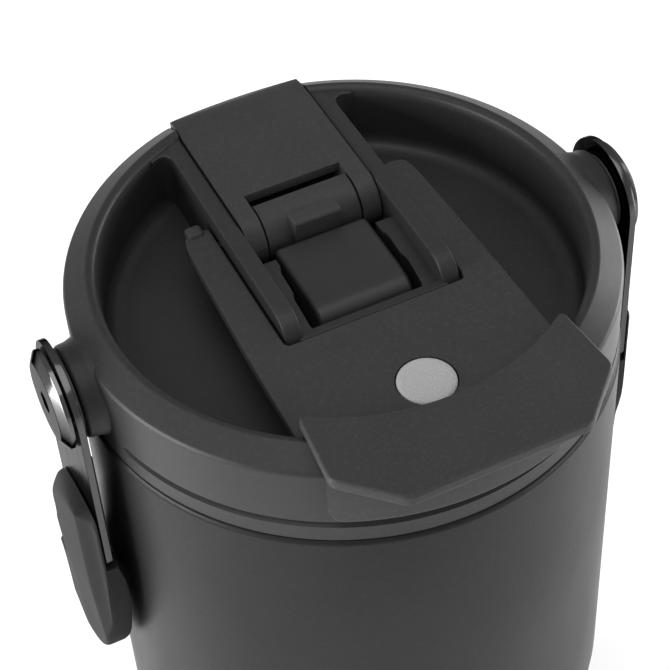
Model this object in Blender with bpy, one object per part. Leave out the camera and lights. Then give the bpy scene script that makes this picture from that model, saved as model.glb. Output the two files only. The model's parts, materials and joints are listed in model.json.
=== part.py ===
"""Insulated travel mug: steel cup, screw-in lid with a flip spout and a flip sip cover, carry handle.

Lengths are written in millimetres and scaled to metres at the end.  +Z is up, the base centre is the
origin, the drinking side faces -Y and the handle pivots lie along X.
"""
import math

import bmesh
import bpy
from mathutils import Matrix, Vector

for old in list(bpy.data.objects):
    bpy.data.objects.remove(old, do_unlink=True)

MM = 0.001
RIM = 205.0            # height of the lid rim's outer crease above the base
SEG = 48               # segments of a large turned part
WALL_R = 52.5          # cup body radius
LID_R = 52.0           # lid outer radius
HINGE_Y = 17.0         # common axis of spout and sip cover
HINGE_Z = RIM - 3.4
PIVOT_Z = RIM - 8.0    # handle pivots
GAP = 0.3
PIN_R = 1.3
PIN_HOLE_R = 1.6
SIP_Y = -33.6
SIP_R = 6.6

CUP_STEEL = ("cup_steel", (0.055, 0.055, 0.058), 0.55, 0.3)
BARE_STEEL = ("bare_steel", (0.62, 0.62, 0.63), 0.28, 1.0)
PIVOT_STEEL = ("pivot_steel", (0.70, 0.70, 0.71), 0.18, 1.0)
LID_PLASTIC = ("lid_plastic", (0.050, 0.050, 0.052), 0.5, 0.0)
COVER_PLASTIC = ("cover_plastic", (0.055, 0.055, 0.057), 0.5, 0.0)
GRIP_RUBBER = ("grip_rubber", (0.045, 0.045, 0.047), 0.7, 0.0)
GREY_SILICONE = ("grey_silicone", (0.52, 0.53, 0.54), 0.55, 0.0)
CLEAR_SILICONE = ("clear_silicone", (0.62, 0.62, 0.60), 0.5, 0.0)
DARK_SILICONE = ("dark_silicone", (0.06, 0.06, 0.06), 0.7, 0.0)
BRASS = ("brass", (0.72, 0.55, 0.25), 0.35, 1.0)
NYLON = ("nylon", (0.75, 0.74, 0.70), 0.45, 0.0)


def material(spec):
    name, colour, roughness, metallic = spec
    found = bpy.data.materials.get(name)
    if found:
        return found
    made = bpy.data.materials.new(name)
    made.use_nodes = True
    shader = made.node_tree.nodes["Principled BSDF"]
    shader.inputs["Base Color"].default_value = (*colour, 1.0)
    shader.inputs["Roughness"].default_value = roughness
    shader.inputs["Metallic"].default_value = metallic
    return made


def add_object(name, bm):
    bmesh.ops.recalc_face_normals(bm, faces=bm.faces)
    mesh = bpy.data.meshes.new(name)
    bm.to_mesh(mesh)
    bm.free()
    obj = bpy.data.objects.new(name, mesh)
    bpy.context.collection.objects.link(obj)
    return obj


def lathe(name, profile, segments=SEG, centre=(0.0, 0.0)):
    """Turn a closed (radius, height) outline about a vertical axis."""
    bm = bmesh.new()
    columns = []
    for radius, height in profile:
        if radius == 0.0:
            columns.append([bm.verts.new((centre[0], centre[1], height))] * segments)
            continue
        ring = []
        for step in range(segments):
            angle = 2 * math.pi * step / segments
            x = centre[0] + radius * math.cos(angle)
            y = centre[1] + radius * math.sin(angle)
            ring.append(bm.verts.new((x, y, height)))
        columns.append(ring)
    for index, ring in enumerate(columns):
        other = columns[(index + 1) % len(columns)]
        if profile[index][0] == 0.0 and profile[(index + 1) % len(columns)][0] == 0.0:
            continue
        for step in range(segments):
            nxt = (step + 1) % segments
            corners = [ring[step], ring[nxt], other[nxt], other[step]]
            unique = list(dict.fromkeys(corners))
            if len(unique) > 2:
                bm.faces.new(unique)
    return add_object(name, bm)


def sweep(name, profile, start, stop, steps, rise=0.0):
    """Turn a closed (radius, height) outline through part of a circle; rise makes it a helix."""
    bm = bmesh.new()
    rings = []
    for step in range(steps + 1):
        share = step / steps
        angle = math.radians(start + (stop - start) * share)
        lift = rise * share
        ring = [bm.verts.new((r * math.cos(angle), r * math.sin(angle), z + lift)) for r, z in profile]
        rings.append(ring)
    count = len(profile)
    for first, second in zip(rings, rings[1:]):
        for index in range(count):
            nxt = (index + 1) % count
            bm.faces.new((first[index], first[nxt], second[nxt], second[index]))
    bm.faces.new(rings[0])
    bm.faces.new(list(reversed(rings[-1])))
    return add_object(name, bm)


def prism(name, outline, axis, low, high):
    """Extrude a closed 2-D outline along an axis; the outline's pair is the other two axes in order."""
    places = {"X": lambda a, b, c: (c, a, b), "Y": lambda a, b, c: (a, c, b), "Z": lambda a, b, c: (a, b, c)}
    place = places[axis]
    bm = bmesh.new()
    bottom = [bm.verts.new(place(a, b, low)) for a, b in outline]
    top = [bm.verts.new(place(a, b, high)) for a, b in outline]
    bm.faces.new(bottom)
    bm.faces.new(top)
    for index in range(len(outline)):
        nxt = (index + 1) % len(outline)
        bm.faces.new((bottom[index], bottom[nxt], top[nxt], top[index]))
    return add_object(name, bm)


def box(name, x0, x1, y0, y1, z0, z1):
    return prism(name, [(x0, y0), (x1, y0), (x1, y1), (x0, y1)], "Z", z0, z1)


def circle(cx, cy, radius, count, start=0.0, stop=360.0):
    """Points of a full circle, or of an arc with both ends."""
    whole = abs(stop - start) >= 360.0
    pieces = count if whole else count - 1
    points = []
    for step in range(count):
        angle = math.radians(start + (stop - start) * step / pieces)
        points.append((cx + radius * math.cos(angle), cy + radius * math.sin(angle)))
    return points


def rod(name, axis, ca, cb, radius, low, high, count=24):
    """Round bar; its corners are turned a little so that none lies on a seam of a turned part."""
    return prism(name, circle(ca, cb, radius, count, 4.0, 364.0), axis, low, high)


def stepped_rod(name, y, z, sections, count=28):
    """Turned piece along X from (x, radius) sections, both ends closed."""
    bm = bmesh.new()
    rings = []
    for x, radius in sections:
        rings.append([bm.verts.new((x, a, b)) for a, b in circle(y, z, radius, count)])
    for first, second in zip(rings, rings[1:]):
        for index in range(count):
            nxt = (index + 1) % count
            bm.faces.new((first[index], first[nxt], second[nxt], second[index]))
    bm.faces.new(rings[0])
    bm.faces.new(rings[-1])
    return add_object(name, bm)


def combine(target, tool, operation):
    change = target.modifiers.new("join", "BOOLEAN")
    change.operation = operation
    change.solver = "EXACT"
    change.object = tool
    bpy.context.view_layer.update()
    depsgraph = bpy.context.evaluated_depsgraph_get()
    result = bpy.data.meshes.new_from_object(target.evaluated_get(depsgraph))
    target.modifiers.clear()
    target.data = result
    bpy.data.objects.remove(tool, do_unlink=True)
    return target


def unite(target, *tools):
    for tool in tools:
        combine(target, tool, "UNION")
    return target


def cut(target, *tools):
    for tool in tools:
        combine(target, tool, "DIFFERENCE")
    return target


def finish(obj, spec, origin=(0.0, 0.0, 0.0), smooth=32.0):
    """Scale to metres, set the origin, clean the mesh and give it its material."""
    bm = bmesh.new()
    bm.from_mesh(obj.data)
    bmesh.ops.remove_doubles(bm, verts=bm.verts, dist=0.0005)
    bmesh.ops.dissolve_degenerate(bm, edges=bm.edges, dist=0.0005)
    bmesh.ops.recalc_face_normals(bm, faces=bm.faces)
    bm.to_mesh(obj.data)
    bm.free()
    obj.data.transform(Matrix.Translation(-Vector(origin)))
    obj.data.transform(Matrix.Scale(MM, 4))
    obj.location = Vector(origin) * MM
    obj.data.materials.clear()
    obj.data.materials.append(material(spec))
    obj.data.polygons.foreach_set("use_smooth", [True] * len(obj.data.polygons))
    obj.data.set_sharp_from_angle(angle=math.radians(smooth))
    return obj


# ---------------------------------------------------------------- cup
LIP = RIM - 18.1
SHELL_WALL = 0.9
LINER_WALL = 0.8
shell_side = [(WALL_R, LIP - 0.8), (WALL_R, 92.0), (51.9, 85.5), (50.2, 79.5), (47.4, 73.5), (44.3, 67.5),
              (41.9, 61.0), (40.6, 54.0), (40.0, 46.0), (39.2, 20.0), (38.9, 3.2)]
shell_back = [(r - SHELL_WALL, z) for r, z in reversed(shell_side[1:-1])]
outer_shell = lathe("outer_shell", [(49.5, LIP), (51.9, LIP)] + shell_side + [(37.5, 1.4), (37.4, 2.6)]
                    + shell_back + [(51.6, LIP - 1.9), (49.5, LIP - 1.9)])
finish(outer_shell, CUP_STEEL)

liner_side = [(49.2, LIP), (49.2, 93.0), (48.5, 86.0), (46.8, 80.0), (44.0, 74.0), (40.9, 68.0),
              (38.5, 61.5), (37.2, 54.5), (36.6, 46.5), (35.9, 20.0), (34.2, 14.6), (31.0, 11.5), (0.0, 11.5)]
liner_back = [(30.7, 12.3), (33.5, 15.0)] + [(r - LINER_WALL, z) for r, z in reversed(liner_side[:10])]
inner_liner = lathe("inner_liner", liner_side + [(0.0, 12.3)] + liner_back)
finish(inner_liner, BARE_STEEL)

base_plate = lathe("base_plate", [
    (37.0, 3.1), (37.0, 6.6), (36.2, 6.6), (36.2, 4.1), (0.0, 4.1), (0.0, 3.1)])
finish(base_plate, BARE_STEEL)

vacuum_getter = lathe("vacuum_getter", [(8.0, 4.4), (8.0, 6.4), (7.0, 6.9), (0.0, 6.9), (0.0, 4.4)], 28)
finish(vacuum_getter, BARE_STEEL)

base_pad = lathe("base_pad", [(35.8, 0.0), (37.0, 0.9), (37.0, 2.8), (0.0, 2.8), (0.0, 0.0)])
finish(base_pad, DARK_SILICONE)

# ---------------------------------------------------------------- lid moulding
lid_body = lathe("lid_body", [
    (0.0, RIM - 11.0), (41.2, RIM - 11.0), (43.5, RIM - 10.2), (44.8, RIM - 8.2), (45.1, RIM - 6.0),
    (45.4, RIM + 1.2), (45.8, RIM + 2.4), (46.5, RIM + 2.95), (47.3, RIM + 3.0), (51.7, RIM + 0.1),
    (LID_R, RIM - 0.5), (LID_R, RIM - 17.1), (51.6, RIM - 17.7), (50.0, RIM - 17.7), (50.0, RIM - 2.6),
    (47.4, RIM - 2.6), (47.4, RIM - 9.0), (45.8, RIM - 12.2), (44.2, RIM - 13.2), (0.0, RIM - 13.2)])

RAIL_IN = 14.2
RAIL_OUT = 17.8
rail_side = [
    (44.6, RIM - 11.6), (44.6, RIM + 2.2), (-8.0, RIM + 2.2), (-10.4, RIM + 1.7), (-12.3, RIM + 0.2),
    (-13.4, RIM - 1.8), (-13.8, RIM - 3.8), (-13.8, RIM - 11.6)]
ledge_side = [
    (7.5, RIM - 11.8), (7.5, RIM - 1.9), (6.8, RIM - 1.3), (2.0, RIM - 1.5), (-6.0, RIM - 2.5),
    (-10.0, RIM - 3.4), (-12.0, RIM - 3.8), (-12.0, RIM - 11.8)]
for side in (-1, 1):
    rail = prism("rail", rail_side, "X", *sorted((side * RAIL_IN, side * RAIL_OUT)))
    ledge = prism("ledge", ledge_side, "X", *sorted((side * 10.0, side * (RAIL_IN + 0.6))))
    lug = stepped_rod("lug", 0.0, PIVOT_Z, [(side * 47.6, 9.0), (side * 54.6, 9.0), (side * 55.2, 8.4)], 36)
    unite(lid_body, rail, ledge, lug)
front_bar = box("front_bar", -RAIL_OUT + 0.4, RAIL_OUT - 0.4, -13.7, -11.3, RIM - 11.4, RIM - 3.6)
bridge = box("bridge", -RAIL_IN - 0.6, RAIL_IN + 0.6, 24.4, 45.6, RIM - 11.5, RIM - 0.6)
sip_boss = rod("sip_boss", "Z", 0.0, SIP_Y, 8.8, RIM - 11.7, RIM - 4.2, 24)
unite(lid_body, front_bar, bridge, sip_boss)

cover_seat = box("cover_seat", -RAIL_IN, RAIL_IN, 30.0, 56.0, RIM - 0.45, RIM + 6.0)
sip_hole = rod("sip_hole", "Z", 0.0, SIP_Y, SIP_R, RIM - 16.0, RIM, 24)
straw_hole = rod("straw_hole", "Z", 0.0, HINGE_Y, 4.0, RIM - 16.0, RIM - 8.0, 24)
pin_hole = rod("pin_hole", "X", HINGE_Y, HINGE_Z, PIN_HOLE_R, -20.0, 20.0, 20)
vent_hole = rod("vent_hole", "Z", 0.0, 34.0, 2.6, RIM - 16.0, RIM + 2.0, 20)
cut(lid_body, cover_seat, sip_hole, straw_hole, pin_hole, vent_hole)
groove_section = [(51.4, RIM - 13.7), (53.0, RIM - 13.9), (53.0, RIM - 12.7), (51.4, RIM - 12.9)]
for start in (13.4, 193.4):
    cut(lid_body, sweep("groove", groove_section, start, start + 153.2, 20))
for side in (-1, 1):
    bore = rod("bore", "X", 0.0, PIVOT_Z, 3.5, *sorted((side * 48.4, side * 58.0)), 24)
    cut(lid_body, bore)
finish(lid_body, LID_PLASTIC)

# ---------------------------------------------------------------- threaded plug below the lid
PLUG_TOP = RIM - 13.6
PLUG_LOW = RIM - 37.0
lid_plug = lathe("lid_plug", [
    (46.6, PLUG_TOP), (46.6, PLUG_LOW + 5.2),
    (45.6, PLUG_LOW + 4.8), (45.6, PLUG_LOW + 1.6), (46.6, PLUG_LOW + 1.2), (46.6, PLUG_LOW),
    (43.6, PLUG_LOW), (43.6, PLUG_TOP - 2.0), (0.0, PLUG_TOP - 2.0), (0.0, PLUG_TOP)])
thread_section = [(46.2, RIM - 30.4), (47.9, RIM - 29.5), (47.9, RIM - 28.9), (46.2, RIM - 28.0)]
unite(lid_plug, sweep("thread", thread_section, 20.0, 20.0 + 500.0, 46, 9.6))
sip_tube = rod("sip_tube", "Z", 0.0, SIP_Y, 8.2, PLUG_LOW + 2.6, PLUG_TOP - 1.0, 24)
unite(lid_plug, sip_tube)
cut(lid_plug, rod("sip_bore", "Z", 0.0, SIP_Y, SIP_R, PLUG_LOW - 2.0, RIM, 24))
cut(lid_plug, rod("straw_bore", "Z", 0.0, HINGE_Y, 4.0, PLUG_TOP - 6.0, RIM, 24))
cut(lid_plug, rod("vent_bore", "Z", 0.0, 34.0, 2.6, PLUG_TOP - 6.0, RIM, 20))
finish(lid_plug, LID_PLASTIC)

plug_floor = lathe("plug_floor", [(43.3, PLUG_LOW), (43.3, PLUG_LOW + 2.2), (0.0, PLUG_LOW + 2.2),
                                  (0.0, PLUG_LOW)])
cut(plug_floor, rod("sip_bore", "Z", 0.0, SIP_Y, SIP_R, PLUG_LOW - 2.0, RIM, 24))
cut(plug_floor, rod("straw_bore", "Z", 0.0, HINGE_Y, 4.0, PLUG_LOW - 2.0, RIM, 24))
cut(plug_floor, rod("vent_bore", "Z", 0.0, 34.0, 2.6, PLUG_LOW - 2.0, RIM, 20))
finish(plug_floor, LID_PLASTIC)

lid_gasket = lathe("lid_gasket", [
    (45.9, PLUG_LOW + 2.0), (47.2, PLUG_LOW + 1.9), (48.1, PLUG_LOW + 2.9), (47.2, PLUG_LOW + 3.4),
    (48.1, PLUG_LOW + 4.3), (47.2, PLUG_LOW + 4.8), (45.9, PLUG_LOW + 4.5)], 40)
finish(lid_gasket, CLEAR_SILICONE)

straw = lathe("straw", [(3.7, 17.0), (3.7, RIM - 11.2), (2.9, RIM - 11.2), (2.9, 17.0)], 24, (0.0, HINGE_Y))
finish(straw, CLEAR_SILICONE)

spout_seal = lathe("spout_seal", [
    (6.2, RIM - 10.7), (6.2, RIM - 9.9), (4.2, RIM - 9.5), (3.0, RIM - 9.8), (3.0, RIM - 10.7)],
    28, (0.0, HINGE_Y))
finish(spout_seal, CLEAR_SILICONE)

# ---------------------------------------------------------------- hinge cover and its vent plug
COVER_HALF = 13.9
COVER_R = 51.0
cover_xs = [COVER_HALF * (4 - step) / 4 for step in range(9)]
cover_edge = [(x, math.sqrt(COVER_R ** 2 - x ** 2)) for x in cover_xs]
hinge_cover = prism("hinge_cover", [
    (22.4, RIM - 0.1), (21.6, RIM + 0.6), (21.6, RIM + 2.6), (46.4, RIM + 2.6), (49.0, RIM + 2.0),
    (51.4, RIM + 0.7), (51.4, RIM - 0.1)], "X", -COVER_HALF, COVER_HALF)
plan = prism("plan", [(-15.0, 20.0), (15.0, 20.0), (15.0, cover_edge[0][1])] + cover_edge
             + [(-15.0, cover_edge[0][1])], "Z", RIM - 2.0, RIM + 5.0)
combine(hinge_cover, plan, "INTERSECT")
EAR_R = 6.0
for side in (-1, 1):
    lobe = circle(HINGE_Y, HINGE_Z, EAR_R, 16, 90.0, 300.0) + [(24.1, HINGE_Z - 4.0), (24.1, HINGE_Z + EAR_R)]
    unite(hinge_cover, prism("ear", lobe, "X", *sorted((side * 10.1, side * 13.9))))
cut(hinge_cover, rod("pin_bore", "X", HINGE_Y, HINGE_Z, PIN_HOLE_R, -20.0, 20.0, 20))
finish(hinge_cover, COVER_PLASTIC)

vent_plug = lathe("vent_plug", [
    (2.3, RIM - 12.0), (2.3, RIM - 0.4), (0.0, RIM - 0.4), (0.0, RIM - 12.0)], 20, (0.0, 34.0))
finish(vent_plug, CLEAR_SILICONE)

# ---------------------------------------------------------------- hinge pins, pivots
for side, word in ((-1, "left"), (1, "right")):
    pin = stepped_rod("hinge_pin_" + word, HINGE_Y, HINGE_Z, [(side * 6.6, PIN_R), (side * 23.6, PIN_R)], 16)
    finish(pin, PIVOT_STEEL)

    insert = stepped_rod("lug_insert_" + word, 0.0, PIVOT_Z, [(side * 48.8, 3.2), (side * 54.8, 3.2)], 24)
    cut(insert, rod("insert_bore", "X", 0.0, PIVOT_Z, 2.1, *sorted((side * 48.0, side * 56.0)), 20))
    finish(insert, BRASS)

    washer = stepped_rod("pivot_washer_" + word, 0.0, PIVOT_Z, [(side * 55.5, 8.0), (side * 55.9, 8.0)], 24)
    cut(washer, rod("washer_bore", "X", 0.0, PIVOT_Z, 4.2, *sorted((side * 55.0, side * 57.0)), 24))
    finish(washer, NYLON)

    screw = stepped_rod("pivot_screw_" + word, 0.0, PIVOT_Z, [
        (side * 50.2, 1.75), (side * 55.5, 1.75), (side * 55.5, 3.9), (side * 57.9, 3.9), (side * 57.9, 9.9),
        (side * 58.5, 9.9), (side * 58.8, 9.2), (side * 59.6, 8.7), (side * 60.1, 7.9)], 28)
    socket = prism("socket", circle(0.0, PIVOT_Z, 2.3, 6), "X", *sorted((side * 58.6, side * 62.0)))
    cut(screw, socket)
    finish(screw, PIVOT_STEEL)

# ---------------------------------------------------------------- handle
HANDLE_ORIGIN = (0.0, 0.0, PIVOT_Z)
STRAP_HALF = 11.0
TONGUE_HALF = 8.0      # the strap narrows to this inside the grip
STRAP_IN = 56.2
STRAP_OUT = 57.6
strap_outline = circle(0.0, PIVOT_Z, STRAP_HALF, 24, 0.0, 180.0) + [
    (-STRAP_HALF, RIM - 44.6), (-10.4, RIM - 46.2), (-TONGUE_HALF, RIM - 47.4), (-TONGUE_HALF, RIM - 58.2),
    (-6.0, RIM - 60.2), (6.0, RIM - 60.2), (TONGUE_HALF, RIM - 58.2), (TONGUE_HALF, RIM - 47.4),
    (10.4, RIM - 46.2), (STRAP_HALF, RIM - 44.6)]
RIVET_Z = RIM - 55.2
for side, word in ((-1, "left"), (1, "right")):
    strap = prism("handle_arm_" + word, strap_outline, "X", *sorted((side * STRAP_IN, side * STRAP_OUT)))
    cut(strap, rod("eye", "X", 0.0, PIVOT_Z, 4.2, *sorted((side * 56.0, side * 59.0)), 24))
    cut(strap, rod("rivet_eye", "X", 0.0, RIVET_Z, 2.0, *sorted((side * 56.0, side * 59.0)), 16))
    finish(strap, BARE_STEEL, HANDLE_ORIGIN)


def between(table, place):
    """Straight-line value from a falling table of (place, value)."""
    if place >= table[0][0]:
        return table[0][1]
    for (high, first), (low, second) in zip(table, table[1:]):
        if place >= low:
            return first + (second - first) * (high - place) / (high - low)
    return table[-1][1]


# The grip is one moulding: a flat pad on each arm that sweeps back into a band behind the cup.
GRIP_OUT = [(-32.4, 60.85), (-49.0, 60.85), (-57.0, 60.8), (-68.0, 60.3), (-79.0, 59.8), (-94.0, 59.6)]
PAD_START = 58.6
PAD_RISE = [(10.9, 0.45), (5.0, 0.7), (0.0, 1.2), (-6.0, 2.5), (-10.9, 3.0)]
GRIP_IN = [(-37.6, 57.0), (-43.0, 56.3), (-47.5, 55.7), (-49.5, 55.0), (-53.0, 54.3), (-62.0, 54.2),
           (-75.0, 54.4), (-94.0, 54.6)]
GRIP_SHARES = (0.08, 0.18, 0.3, 0.46, 0.64, 0.83)
pad_edges = [
    (-10.9, -34.6, -51.5), (-10.2, -33.5, -60.0), (-8.4, -32.8, -69.0), (-6.0, -32.6, -76.4),
    (-3.0, -32.8, -82.0), (0.5, -33.2, -85.9), (4.5, -34.3, -88.9), (8.6, -37.0, -91.0),
    (10.2, -39.2, -91.6), (10.9, -41.5, -91.8)]
band_edges = [(11.4, -60.0, -92.0), (13.2, -67.5, -92.3), (16.4, -71.0, -92.5), (21.0, -72.2, -92.6)]
BAND_ANGLES = [26.0 + 128.0 * step / 14 for step in range(15)]


def grip_ring(top, low, place):
    """Closed section from top to low; place turns (height, outer or inner) into a corner."""
    heights = [top - 0.9] + [top + (low - top) * share for share in GRIP_SHARES] + [low + 0.9]
    ring = [place(top, "edge_out")] + [place(z, "out") for z in heights] + [place(low, "edge_out")]
    ring += [place(low, "edge_in")] + [place(z, "in") for z in reversed(heights)] + [place(top, "edge_in")]
    return ring


def grip_depth(y, z, top, where):
    """Distance from the middle plane; the pad's top slopes outwards, steeply at the front."""
    outer = between(GRIP_OUT, z)
    if y <= 10.9:
        outer = min(outer, PAD_START + between(PAD_RISE, y) * (top - z))
    inner = between(GRIP_IN, z)
    outer -= min(0.8 * max(0.0, -6.4 - y), max(0.0, outer - PAD_START))
    inset = min(1.0, 0.3 * (outer - inner))
    return {"out": outer, "in": inner, "edge_out": outer - inset, "edge_in": inner + inset}[where]


def grip_rings():
    """Sections of the left-hand half turned to the whole: pad, bend, band, bend, pad."""
    first = []
    for y, top, low in pad_edges + band_edges:
        turn = math.asin(min(1.0, max(0.0, (y - 10.9) / 60.0)))

        def place(z, where, y=y, top=top, turn=turn):
            return grip_depth(y, z, top, where) - 3.9 * turn, y, RIM + z

        first.append(grip_ring(top, low, place))
    rings = list(first)
    for degrees in BAND_ANGLES:
        angle = math.radians(degrees)

        def place(z, where, angle=angle):
            radius = {"out": 59.9, "in": 54.9, "edge_out": 58.9, "edge_in": 55.9}[where]
            return radius * math.cos(angle), radius * math.sin(angle), RIM + z

        rings.append(grip_ring(-72.4, -92.6, place))
    rings += [[(-x, y, z) for x, y, z in ring] for ring in reversed(first)]
    return rings


def loft(name, rings):
    bm = bmesh.new()
    made = [[bm.verts.new(point) for point in ring] for ring in rings]
    count = len(made[0])
    for one, two in zip(made, made[1:]):
        for index in range(count):
            nxt = (index + 1) % count
            bm.faces.new((one[index], one[nxt], two[nxt], two[index]))
    bm.faces.new(made[0])
    bm.faces.new(list(reversed(made[-1])))
    return add_object(name, bm)


grip = loft("handle_grip", grip_rings())
for side in (-1, 1):
    cut(grip, box("arm_room", *sorted((side * 50.0, side * 57.95)), -14.0, 14.0, RIM - 47.6, RIM - 30.0))
    cut(grip, box("tongue_room", *sorted((side * 55.9, side * 57.85)), -8.3, 8.3, RIM - 60.5, RIM - 47.0))
    cut(grip, rod("rivet_bore", "X", 0.0, RIVET_Z, 2.0, *sorted((side * 50.0, side * 60.0)), 16))
    cut(grip, rod("rivet_sink", "X", 0.0, RIVET_Z, 3.3, *sorted((side * 50.0, side * 55.5)), 20))
finish(grip, GRIP_RUBBER, HANDLE_ORIGIN)
for side, word in ((-1, "left"), (1, "right")):
    rivet = stepped_rod("grip_rivet_" + word, 0.0, RIVET_Z, [
        (side * 54.4, 2.6), (side * 54.7, 3.0), (side * 55.2, 3.0), (side * 55.2, 1.7), (side * 59.7, 1.7)], 20)
    finish(rivet, BARE_STEEL, HANDLE_ORIGIN)

# ---------------------------------------------------------------- spout
HINGE_ORIGIN = (0.0, HINGE_Y, HINGE_Z)
FLOW_Z = RIM - 6.6
FLOW_R = 2.0
barrel_side = circle(HINGE_Y, HINGE_Z, 5.8, 20, 74.0, 330.0) + [(HINGE_Y + 3.4, HINGE_Z - 2.9)]
spout_barrel = prism("spout_barrel", barrel_side, "X", -9.7, 9.7)
unite(spout_barrel, prism("thumb_tab", [
    (13.2, RIM + 2.4), (10.4, RIM + 2.6), (9.9, RIM + 2.2), (10.3, RIM - 3.2), (13.2, RIM - 3.2)],
    "X", -4.8, 4.8))
cut(spout_barrel, rod("flow_bore", "Y", 0.0, FLOW_Z, FLOW_R, 8.0, 26.0, 20))
for side in (-1, 1):
    cut(spout_barrel, rod("pin_bore", "X", HINGE_Y, HINGE_Z, PIN_HOLE_R, *sorted((side * 6.2, side * 12.0)), 20))
finish(spout_barrel, COVER_PLASTIC, HINGE_ORIGIN)

spout_mouth = prism("spout_mouth", [
    (10.0, RIM - 4.3), (9.4, RIM - 2.5), (-6.0, RIM - 2.5), (-8.6, RIM - 3.0), (-10.3, RIM - 4.4),
    (-10.9, RIM - 6.2), (-10.9, RIM - 8.8), (8.6, RIM - 8.8), (10.0, RIM - 7.0)], "X", -9.6, 9.6)
cut(spout_mouth, rod("mouth_bore", "Y", 0.0, FLOW_Z, FLOW_R, -14.0, 14.0, 20))
finish(spout_mouth, DARK_SILICONE, HINGE_ORIGIN)

# ---------------------------------------------------------------- flip-up sip cover
TAB_REAR_R = 43.8
PLATE_TOP = RIM - 1.0
PLATE_LOW = RIM - 3.5
half_edge = [(18.3, 20.2), (20.5, 20.8), (23.4, 20.2), (24.2, 17.0), (24.6, 8.0), (25.4, -12.0), (26.0, -34.5)]
front_arc = circle(0.0, 0.0, 44.0, 15, -54.3, -125.7)
left_edge = [(-x, y) for x, y in reversed(half_edge)]
notch = [(-18.3, -13.7), (-17.7, -14.4), (17.7, -14.4), (18.3, -13.7)]
flip_cover = prism("flip_cover", half_edge + front_arc + left_edge + notch, "Z", PLATE_LOW, PLATE_TOP)
for side in (-1, 1):
    unite(flip_cover, rod("arm_barrel", "X", HINGE_Y, HINGE_Z, 2.3, *sorted((side * 18.3, side * 24.2)), 24))
tab_rear = circle(0.0, 0.0, TAB_REAR_R, 15, -125.0, -55.0)
tab_front = [(25.9, -36.6), (27.1, -50.8), (17.3, -60.5), (-17.3, -60.5), (-27.1, -50.8), (-25.9, -36.6)]
unite(flip_cover, prism("tab", tab_rear + tab_front, "Z", RIM + 3.5, RIM + 6.0))
riser_section = [(41.6, PLATE_LOW - 0.1), (44.6, PLATE_LOW - 0.1), (44.6, RIM + 4.4), (43.3, RIM + 4.4), (42.9, RIM + 3.0),
                 (41.8, PLATE_TOP + 0.1)]
unite(flip_cover, sweep("riser", riser_section, -125.0, -55.0, 18))
skirt_section = [(52.5, RIM - 9.6), (53.9, RIM - 9.8), (54.5, RIM - 9.0), (54.7, RIM + 4.4), (52.5, RIM + 4.4)]
unite(flip_cover, sweep("skirt", skirt_section, -119.0, -61.0, 18))
cut(flip_cover, rod("dot_seat", "Z", 0.0, SIP_Y, 5.7, RIM - 2.4, RIM + 2.0, 24))
cut(flip_cover, rod("dot_neck", "Z", 0.0, SIP_Y, 3.7, RIM - 5.0, RIM, 24))
cut(flip_cover, rod("pin_bore", "X", HINGE_Y, HINGE_Z, PIN_HOLE_R, -30.0, 30.0, 20))
finish(flip_cover, COVER_PLASTIC, HINGE_ORIGIN)

sip_stopper = lathe("sip_stopper", [
    (5.4, RIM - 2.1), (5.4, RIM - 1.0), (5.0, RIM - 0.7), (0.0, RIM - 0.6), (0.0, RIM - 8.6), (5.2, RIM - 8.6),
    (6.2, RIM - 7.4), (5.8, RIM - 6.2), (6.2, RIM - 5.2), (5.9, RIM - 3.8), (3.4, RIM - 3.8), (3.4, RIM - 2.1)],
    24, (0.0, SIP_Y))
finish(sip_stopper, GREY_SILICONE, HINGE_ORIGIN)
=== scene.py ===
"""Insulated travel mug on a pale floor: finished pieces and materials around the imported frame.

Helper lengths are millimetres and become metres when a piece is finished.  +Z is up, the drinking side
faces -Y, and the handle pivots and the lid hinge lie along X.
"""

import json
import math
from functools import partial

import bmesh
import bpy
from mathutils import Matrix, Vector


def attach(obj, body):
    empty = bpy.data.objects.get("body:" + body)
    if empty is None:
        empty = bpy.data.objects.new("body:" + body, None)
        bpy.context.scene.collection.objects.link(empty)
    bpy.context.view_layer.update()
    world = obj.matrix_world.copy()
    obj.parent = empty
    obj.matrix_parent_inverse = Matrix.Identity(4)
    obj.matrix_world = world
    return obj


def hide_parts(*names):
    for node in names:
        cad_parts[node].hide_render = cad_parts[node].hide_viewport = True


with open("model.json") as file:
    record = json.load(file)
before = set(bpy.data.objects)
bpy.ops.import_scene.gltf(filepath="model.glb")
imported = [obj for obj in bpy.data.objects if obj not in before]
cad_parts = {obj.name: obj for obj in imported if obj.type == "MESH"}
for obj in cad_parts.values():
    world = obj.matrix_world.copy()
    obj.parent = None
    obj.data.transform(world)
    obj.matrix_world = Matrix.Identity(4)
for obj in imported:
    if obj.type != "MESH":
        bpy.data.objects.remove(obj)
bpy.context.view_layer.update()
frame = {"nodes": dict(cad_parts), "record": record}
scene = bpy.context.scene

MM = 0.001
RIM = 205.0            # height of the lid rim's outer crease
SEG = 160              # segments of a large turned piece
WALL_R = 52.5          # outer radius of the cup
LID_R = 52.0           # outer radius of the lid
LIP = RIM - 18.1       # height of the cup's lip
HINGE_Y = 17.0         # axis of the sip cover and the spout
HINGE_Z = RIM - 3.4
PIN_R = 1.6            # bores for the hinge pins
PIVOT_Z = RIM - 8.0    # axis of the handle
SIP_Y = -33.6          # centre of the drinking hole and its stopper
SIP_R = 6.6
FLOW_Z = RIM - 6.6     # bore through the spout and its mouthpiece
FLOW_R = 2.0
RIVET_Z = RIM - 55.2   # rivets between the straps and the grip
RIVET_R = 2.0
STRAP_IN = 56.2        # inner and outer face of the straps
STRAP_OUT = 57.6


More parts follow.
